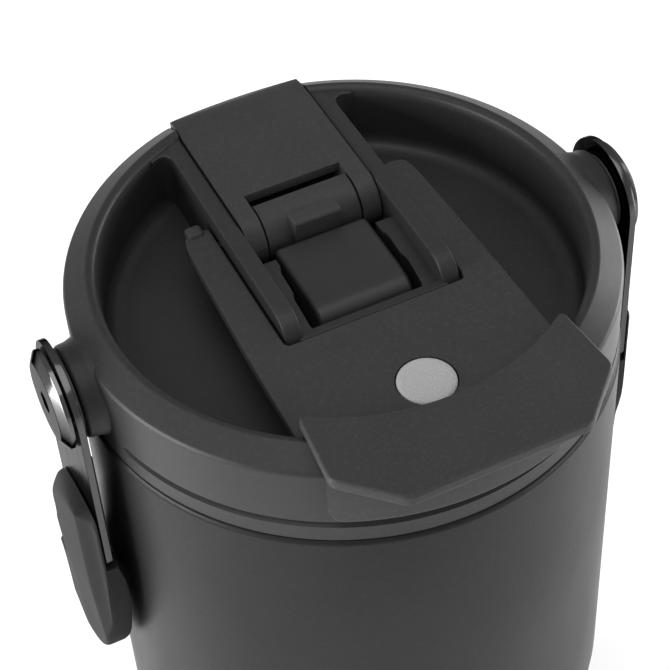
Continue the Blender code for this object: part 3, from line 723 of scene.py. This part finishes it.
# Stopper head in its seat, thin neck through the plate, and two soft ribs in the drinking hole.
stopper_profile = [
    (0.0, RIM - 0.6), (4.7, RIM - 0.62), (5.2, RIM - 0.78), (5.45, RIM - 1.1), (5.45, RIM - 2.1),
    (3.4, RIM - 2.1), (3.4, RIM - 3.8), (5.9, RIM - 3.8), (6.2, RIM - 5.2), (5.8, RIM - 6.2),
    (6.2, RIM - 7.4), (5.2, RIM - 8.6), (0.0, RIM - 8.6)]
stopper = lathe("sip_plug", softened(stopper_profile, 0.3, 3, only=range(1, 12)), 72, (0.0, SIP_Y))
finish(stopper, "sip_cover", "grey_silicone", ["sip_stopper"])

# ---------------------------------------------------------------- pivots
SIDES = ((-1, "left"), (1, "right"))
SOCKET_R = 2.3         # across the corners of the hexagon socket, halved
SCREW_SECTIONS = [
    (50.2, 1.75), (55.5, 1.75), (55.5, 3.9), (57.9, 3.9), (57.9, 9.5), (58.0, 9.65), (58.75, 9.65),
    (58.95, 9.5), (60.0, 7.75), (60.1, 7.5)]
for side, word in SIDES:
    screw = stepped_rod("pivot_bolt_" + word, 0.0, PIVOT_Z, mirrored(SCREW_SECTIONS, side), 72)
    socket = prism("socket", circle(0.0, PIVOT_Z, SOCKET_R, 6), "X", side * 58.6, side * 62.0)
    cut(screw, socket)
    finish(screw, "lid", "pivot_steel", ["pivot_screw_" + word], 30.0)

# ---------------------------------------------------------------- handle
strap_outline = circle(0.0, PIVOT_Z, 11.0, 56, 0.0, 180.0) + [
    (-11.0, RIM - 44.6), (-10.4, RIM - 46.2), (-8.0, RIM - 47.4), (-8.0, RIM - 58.2), (-6.0, RIM - 60.2),
    (6.0, RIM - 60.2), (8.0, RIM - 58.2), (8.0, RIM - 47.4), (10.4, RIM - 46.2), (11.0, RIM - 44.6)]
for side, word in SIDES:
    strap = prism("handle_strap_" + word, strap_outline, "X", side * STRAP_IN, side * STRAP_OUT, 0.22, 2)
    cut(strap, rod("eye", "X", 0.0, PIVOT_Z, 4.2, side * 56.0, side * 59.0, 40))
    cut(strap, rod("rivet_eye", "X", 0.0, RIVET_Z, RIVET_R, side * 56.0, side * 59.0, 24))
    finish(strap, "handle", "bare_steel", ["handle_arm_" + word], look=STRAP_STEEL)


def smooth_value(table, place):
    """Smooth value from a table of (place, value) in rising or falling order."""
    rows = sorted(table)
    if place <= rows[0][0]:
        return rows[0][1]
    if place >= rows[-1][0]:
        return rows[-1][1]
    for index in range(len(rows) - 1):
        if place <= rows[index + 1][0]:
            break
    before = rows[max(0, index - 1)]
    start = rows[index]
    stop = rows[index + 1]
    after = rows[min(len(rows) - 1, index + 2)]
    width = stop[0] - start[0]
    t = (place - start[0]) / width
    slope_in = (stop[1] - before[1]) / max(1e-6, stop[0] - before[0]) * width
    slope_out = (after[1] - start[1]) / max(1e-6, after[0] - start[0]) * width
    if before is start:
        slope_in = stop[1] - start[1]
    if after is stop:
        slope_out = stop[1] - start[1]
    return ((2 * t ** 3 - 3 * t ** 2 + 1) * start[1] + (t ** 3 - 2 * t ** 2 + t) * slope_in
            + (3 * t ** 2 - 2 * t ** 3) * stop[1] + (t ** 3 - t ** 2) * slope_out)


# Grip tables: heights are from the rim, and the pads run from y = -PAD_HALF to PAD_HALF.
PAD_HALF = 10.9
GRIP_OUT = [(-32.4, 60.85), (-49.0, 60.85), (-57.0, 60.8), (-68.0, 60.3), (-79.0, 59.8), (-94.0, 59.6)]
GRIP_IN = [(-32.4, 55.3), (-43.0, 55.3), (-47.5, 55.3), (-49.5, 54.9), (-53.0, 54.3), (-62.0, 54.2),
           (-75.0, 54.4), (-94.0, 54.6)]
GRIP_TOP = [(-10.9, -34.6), (-10.2, -33.5), (-8.4, -32.8), (-6.0, -32.6), (-3.0, -32.8), (0.5, -33.2),
            (4.5, -34.3), (8.6, -37.0), (10.2, -39.2), (10.9, -41.5)]
PAD_START = 58.6       # outer face at the top edge of a pad
PAD_RISE = [(-10.9, 3.0), (-6.0, 2.5), (0.0, 1.2), (5.0, 0.7), (10.9, 0.45)]   # its slope outwards, by y
GRIP_LOW = [(-10.9, -51.5), (-10.2, -60.0), (-8.4, -69.0), (-6.0, -76.4), (-3.0, -82.0), (0.5, -85.9),
            (4.5, -88.9), (8.6, -91.0), (10.9, -91.8), (13.2, -92.3), (21.0, -92.6)]
PAD_YS = [-10.9, -10.75, -10.5, -10.1, -9.5, -8.7, -7.8, -7.0, -6.6, -6.2, -5.6, -4.5, -3.0, -1.2, 0.6, 2.5,
          4.5, 6.6, 8.6, 9.8, 10.5, 10.8, 10.9]
BAND_TOP = [(11.1, -52.0), (11.8, -61.5), (13.2, -67.0), (15.0, -70.0), (17.5, -71.7), (21.0, -72.3)]
CORNER = ((0.0, 1.0), (0.29, 0.45), (0.62, 0.14), (1.0, 0.0))   # (down, inward) steps round a corner
CHAMFER_Y = -6.4       # the chamfer along a pad's front edge starts here
CHAMFER_SLOPE = 0.8
RIDGE_DIP = 0.25       # softens the ridge where the slope meets the outer face
SIDE_FLAT = 10.1       # the rounding of a pad's sides starts here
SIDE_CURVE = 0.6
FADE_LOW = -54.0       # the rear side's rounding fades out over this stretch
FADE_HEIGHT = 4.0
BAND_BEND = 60.0       # radius of the bend from the pads to the rear bar
BAND_INWARD = 3.9      # how far the bend carries the faces inwards, for each radian of it
BAR_TOP = -72.4        # rear bar: heights from the rim, radii and the angles of its ends
BAR_LOW = -92.6
BAR_OUT = 59.9
BAR_IN = 54.9
BAR_ANGLES = (24.0, 156.0)
BAR_STEPS = 40


def grip_ring(top, low, place, steps=30):
    """Closed section with rounded corners between heights top and low, closer spaced towards the top."""
    bend = min(1.0, (top - low) * 0.2)
    heights = [top - bend - (top - low - 2 * bend) * (step / steps) ** 1.35 for step in range(steps + 1)]
    outer = [place(top - bend * down, "out", inward) for down, inward in CORNER[:-1]]
    outer += [place(z, "out", 0.0) for z in heights]
    outer += [place(low + bend * down, "out", inward) for down, inward in reversed(CORNER[:-1])]
    inner = [place(low + bend * down, "in", inward) for down, inward in CORNER[:-1]]
    inner += [place(z, "in", 0.0) for z in reversed(heights)]
    inner += [place(top - bend * down, "in", inward) for down, inward in reversed(CORNER[:-1])]
    return outer + inner


def grip_depth(y, z, top, where, inward):
    """Distance of the grip's outer or inner face from the middle of the cup.

    The face slopes outwards below the top edge, has a chamfer along its front edge and rounded sides,
    and inward runs from 0 on the flat to 1 at a corner.
    """
    outer = smooth_value(GRIP_OUT, z)
    inner = smooth_value(GRIP_IN, z)
    if y <= PAD_HALF:
        sloped = PAD_START + smooth_value(PAD_RISE, y) * (top - z)
        outer = min(outer, sloped) - RIDGE_DIP * max(0.0, 1.0 - abs(outer - sloped)) ** 2
    outer -= min(CHAMFER_SLOPE * max(0.0, CHAMFER_Y - y), max(0.0, outer - PAD_START))
    inset = min(1.0, 0.3 * (outer - inner)) * inward
    side_round = max(0.0, abs(y) - SIDE_FLAT) if abs(y) <= PAD_HALF else 0.0
    if y > 0.0:
        side_round *= min(1.0, max(0.0, (z - FADE_LOW) / FADE_HEIGHT))
    if where == "out":
        return outer - inset - side_round ** 2 * SIDE_CURVE
    return inner + inset + side_round ** 2 * SIDE_CURVE


def side_point(y, top, z, where, inward):
    """Point of a pad, or of the band behind it that bends towards the rear bar."""
    bend = math.asin(min(1.0, max(0.0, (y - PAD_HALF) / BAND_BEND)))
    return grip_depth(y, z, top, where, inward) - BAND_INWARD * bend, y, RIM + z


def bar_point(angle, z, where, inward):
    """Point of the rear bar, which runs round the cup."""
    radius = BAR_OUT - inward if where == "out" else BAR_IN + inward
    return radius * math.cos(angle), radius * math.sin(angle), RIM + z


def grip_rings():
    """Sections of the whole grip: right pad and band, rear bar, then the left side as a mirror image."""
    columns = [(y, smooth_value(GRIP_TOP, y)) for y in PAD_YS] + BAND_TOP
    right = [grip_ring(top, smooth_value(GRIP_LOW, y), partial(side_point, y, top)) for y, top in columns]
    start, stop = BAR_ANGLES
    turns = [math.radians(start + (stop - start) * step / BAR_STEPS) for step in range(BAR_STEPS + 1)]
    bar = [grip_ring(BAR_TOP, BAR_LOW, partial(bar_point, turn)) for turn in turns]
    left = [[(-x, y, z) for x, y, z in ring] for ring in reversed(right)]
    return right + bar + left


grip = loft("handle_bail_grip", grip_rings())
for side in (-1, 1):
    cut(grip, box("arm_room", side * 50.0, side * 57.9, -14.0, 14.0, RIM - 47.6, RIM - 30.0))
    cut(grip, box("tongue_room", side * 55.9, side * 57.8, -8.3, 8.3, RIM - 60.5, RIM - 47.0))
    cut(grip, rod("rivet_bore", "X", 0.0, RIVET_Z, RIVET_R, side * 50.0, side * 60.0, 24))
    cut(grip, rod("rivet_sink", "X", 0.0, RIVET_Z, 3.3, side * 50.0, side * 55.5, 32))
finish(grip, "handle", "grip_rubber", ["handle_grip"], 42.0)

# ---------------------------------------------------------------- carried-over nodes
slot_of = {row["node"]: row["material_slot"] for row in frame["record"]["subparts"]}
for name, node in frame["nodes"].items():
    if name in replaced:
        continue
    finished = MATERIALS[slot_of[name]]
    for holder in node.material_slots:
        holder.material = finished

# ---------------------------------------------------------------- studio
FLOOR_HALF = 4.0
FLOOR_DROP = 0.0002    # keeps the floor clear of the foot
ROOM_LIGHT = 0.45      # strength of the surroundings as a light
ROOM_SEEN = 0.95       # strength of the surroundings as the background
bm = bmesh.new()
floor_corners = [(x * FLOOR_HALF, y * FLOOR_HALF) for x, y in ((-1, -1), (1, -1), (1, 1), (-1, 1))]
bm.faces.new([bm.verts.new((x, y, 0.0)) for x, y in floor_corners])
floor = add_object("floor", bm)
floor.location.z = -FLOOR_DROP
floor_graph = Graph("pale_floor")
floor_cloud = floor_graph.noise(3.0, 3.0)
floor_colour = floor_graph.blend(floor_graph.span(floor_cloud, 0.0, 1.0), grey(0.90), grey(0.93))
floor.data.materials.append(floor_graph.set(Base_Color=floor_colour, Roughness=0.85, Specular_IOR_Level=0.2))

world = bpy.data.worlds.new("studio")
scene.world = world
world.use_nodes = True
backdrop = world.node_tree.nodes["Background"]
backdrop.inputs["Color"].default_value = (1.0, 1.0, 1.0, 1.0)
seen = world.node_tree.nodes.new("ShaderNodeLightPath").outputs["Is Camera Ray"]
level = world.node_tree.nodes.new("ShaderNodeMapRange")
level.inputs["To Min"].default_value = ROOM_LIGHT
level.inputs["To Max"].default_value = ROOM_SEEN
world.node_tree.links.new(seen, level.inputs["Value"])
world.node_tree.links.new(level.outputs["Result"], backdrop.inputs["Strength"])


def add_light(name, kind, place, aim, energy):
    """Light at a place, turned to face a point."""
    data = bpy.data.lights.new(name, kind)
    data.energy = energy
    light = bpy.data.objects.new(name, data)
    scene.collection.objects.link(light)
    light.location = place
    light.rotation_euler = (Vector(aim) - Vector(place)).to_track_quat("-Z", "Y").to_euler()
    return data


# Name, place, height of the point it faces, width, height and power.
SOFT_BOXES = (
    ("left_strip", (-0.85, 0.02, 0.24), 0.14, 0.5, 0.6, 13.0),
    ("right_strip", (0.80, 0.10, 0.18), 0.14, 0.4, 0.5, 7.0),
    ("right_front_strip", (0.66, -0.56, 0.20), 0.16, 0.4, 0.5, 4.0),
)
for name, place, aim_height, width, height, power in SOFT_BOXES:
    panel = add_light(name, "AREA", place, (0.0, 0.0, aim_height), power)
    panel.shape = "RECTANGLE"
    panel.size = width
    panel.size_y = height
overhead = add_light("overhead", "SUN", (-0.1, -0.3, 1.5), (0.0, 0.0, 0.0), 1.5)
overhead.angle = math.radians(60.0)

scene.view_settings.view_transform = "Standard"
scene.view_settings.look = "None"
scene.view_settings.exposure = 0.0
scene.view_settings.gamma = 1.0
